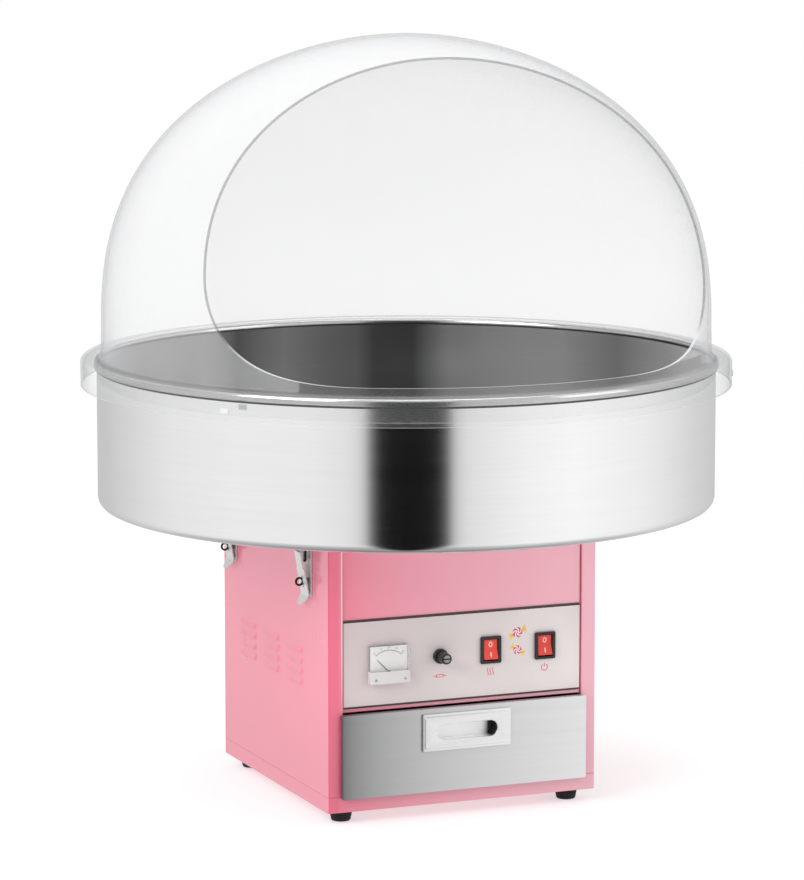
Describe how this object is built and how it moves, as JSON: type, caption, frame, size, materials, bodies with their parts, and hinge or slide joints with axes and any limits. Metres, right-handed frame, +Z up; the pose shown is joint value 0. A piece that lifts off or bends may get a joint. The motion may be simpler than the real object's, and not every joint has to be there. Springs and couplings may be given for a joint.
{
  "type": "electric cotton candy machine",
  "caption": "Tabletop cotton candy machine: pink cabinet with drawer and controls, spinning head, wide steel bowl and clear bubble cover with an open front.",
  "frame": {"origin": "on the floor under the bowl's axis, which is also the middle of the cabinet", "axes": "+Z up along the bowl's axis, -Y towards the operator and the controls, +X to the operator's right"},
  "size_m": [0.748, 0.7481, 0.8713],
  "materials": {
    "pink_paint": "pink gloss powder coat",
    "brushed_steel": "brushed stainless steel",
    "zinc_plate": "bright zinc plate",
    "aluminium": "machined casting",
    "brass_rings": "turned brass",
    "dark_metal": "dark enamel",
    "rubber": "moulded black rubber",
    "black_plastic": "moulded black plastic",
    "fascia": "pale satin panel film",
    "dial_white": "printed dial plate",
    "red_rocker": "translucent red",
    "clear_plastic": "clear moulded plastic",
    "fuse_glass": "clear glass with plated ends"
  },
  "bodies": {
    "cabinet": {"cabinet_shell": "pink_paint", "base_pan": "pink_paint", "top_deck": "pink_paint", "front_panel": "pink_paint", "control_fascia": "fascia", "compartment_shelf": "brushed_steel", "rear_cover": "pink_paint", "cord_gland": "black_plastic", "drawer_runner_left": "zinc_plate", "drawer_runner_right": "zinc_plate", "foot_front_left": "rubber", "foot_rear_left": "rubber", "foot_front_right": "rubber", "foot_rear_right": "rubber", "meter_case": "black_plastic", "meter_dial": "dial_white", "meter_cover": "clear_plastic", "fuse_holder": "black_plastic", "motor_body": "dark_metal", "motor_bracket": "zinc_plate", "brush_holder": "black_plastic", "heat_switch_housing": "black_plastic", "power_switch_housing": "black_plastic", "latch_base_front_left": "zinc_plate", "latch_base_rear_left": "zinc_plate", "latch_base_front_right": "zinc_plate", "latch_base_rear_right": "zinc_plate"},
    "meter_needle": {"meter_needle": "black_plastic"},
    "fuse_cap": {"fuse_cap": "black_plastic", "fuse_cartridge": "fuse_glass"},
    "heat_rocker": {"heat_rocker": "red_rocker"},
    "power_rocker": {"power_rocker": "red_rocker"},
    "drawer": {"drawer_tray": "brushed_steel", "drawer_front": "brushed_steel", "drawer_pull": "brushed_steel"},
    "spinner": {"spindle": "zinc_plate", "slip_ring_hub": "brass_rings", "head_base": "aluminium", "head_band": "brushed_steel", "heater_ribbon": "dark_metal", "sugar_cup": "brushed_steel", "head_cap": "aluminium"},
    "bowl": {"bowl_floor": "brushed_steel", "bowl_wall": "brushed_steel", "bowl_collar": "brushed_steel", "bowl_keeper_front_left": "brushed_steel", "bowl_keeper_rear_left": "brushed_steel", "bowl_keeper_front_right": "brushed_steel", "bowl_keeper_rear_right": "brushed_steel"},
    "bubble_cover": {"cover_ring": "clear_plastic", "dome_shell": "clear_plastic"},
    "latch_lever_front_left": {"latch_lever_front_left": "zinc_plate"},
    "latch_bail_front_left": {"latch_bail_front_left": "zinc_plate"},
    "latch_lever_rear_left": {"latch_lever_rear_left": "zinc_plate"},
    "latch_bail_rear_left": {"latch_bail_rear_left": "zinc_plate"},
    "latch_lever_front_right": {"latch_lever_front_right": "zinc_plate"},
    "latch_bail_front_right": {"latch_bail_front_right": "zinc_plate"},
    "latch_lever_rear_right": {"latch_lever_rear_right": "zinc_plate"},
    "latch_bail_rear_right": {"latch_bail_rear_right": "zinc_plate"}
  },
  "joints": [
    {"name": "needle_swing", "type": "hinge", "parent": "cabinet", "child": "meter_needle", "pos_m": [-0.0915, -0.1706, 0.171], "axis": [0, 1, 0], "range_deg": [0, 90], "stiffness_Nm_per_rad": 0.001},
    {"name": "fuse_pull", "type": "slide", "parent": "cabinet", "child": "fuse_cap", "axis": [0, -1, 0], "range_m": [0, 0.03]},
    {"name": "heat_press", "type": "hinge", "parent": "cabinet", "child": "heat_rocker", "pos_m": [0.0338, -0.165, 0.1857], "axis": [1, 0, 0], "range_deg": [0, 16]},
    {"name": "power_press", "type": "hinge", "parent": "cabinet", "child": "power_rocker", "pos_m": [0.1007, -0.165, 0.1857], "axis": [1, 0, 0], "range_deg": [0, 16]},
    {"name": "drawer_slide", "type": "slide", "parent": "cabinet", "child": "drawer", "axis": [0, -1, 0], "range_m": [0, 0.24]},
    {"name": "head_spin", "type": "hinge", "parent": "cabinet", "child": "spinner", "pos_m": [0, 0, 0.3], "axis": [0, 0, 1], "continuous": true},
    {"name": "bowl_lift", "type": "slide", "parent": "cabinet", "child": "bowl", "axis": [0, 0, 1], "range_m": [0, 0.2]},
    {"name": "cover_lift", "type": "slide", "parent": "bowl", "child": "bubble_cover", "axis": [0, 0, 1], "range_m": [0, 0.15]},
    {"name": "lever_front_left", "type": "hinge", "parent": "cabinet", "child": "latch_lever_front_left", "pos_m": [-0.172, -0.11, 0.302], "axis": [0, 1, 0], "range_deg": [0, 115]},
    {"name": "bail_front_left", "type": "hinge", "parent": "latch_lever_front_left", "child": "latch_bail_front_left", "pos_m": [-0.172, -0.11, 0.294], "axis": [0, 1, 0], "range_deg": [-94, 0]},
    {"name": "lever_rear_left", "type": "hinge", "parent": "cabinet", "child": "latch_lever_rear_left", "pos_m": [-0.172, 0.133, 0.302], "axis": [0, 1, 0], "range_deg": [0, 115]},
    {"name": "bail_rear_left", "type": "hinge", "parent": "latch_lever_rear_left", "child": "latch_bail_rear_left", "pos_m": [-0.172, 0.133, 0.294], "axis": [0, 1, 0], "range_deg": [-94, 0]},
    {"name": "lever_front_right", "type": "hinge", "parent": "cabinet", "child": "latch_lever_front_right", "pos_m": [0.172, -0.11, 0.302], "axis": [0, -1, 0], "range_deg": [0, 115]},
    {"name": "bail_front_right", "type": "hinge", "parent": "latch_lever_front_right", "child": "latch_bail_front_right", "pos_m": [0.172, -0.11, 0.294], "axis": [0, -1, 0], "range_deg": [-94, 0]},
    {"name": "lever_rear_right", "type": "hinge", "parent": "cabinet", "child": "latch_lever_rear_right", "pos_m": [0.172, 0.133, 0.302], "axis": [0, -1, 0], "range_deg": [0, 115]},
    {"name": "bail_rear_right", "type": "hinge", "parent": "latch_lever_rear_right", "child": "latch_bail_rear_right", "pos_m": [0.172, 0.133, 0.294], "axis": [0, -1, 0], "range_deg": [-94, 0]}
  ],
  "couplings": [
    {"joint": "bail_front_left", "follows": "lever_front_left", "ratio": -0.81},
    {"joint": "bail_rear_left", "follows": "lever_rear_left", "ratio": -0.81},
    {"joint": "bail_front_right", "follows": "lever_front_right", "ratio": -0.81},
    {"joint": "bail_rear_right", "follows": "lever_rear_right", "ratio": -0.81}
  ]
}
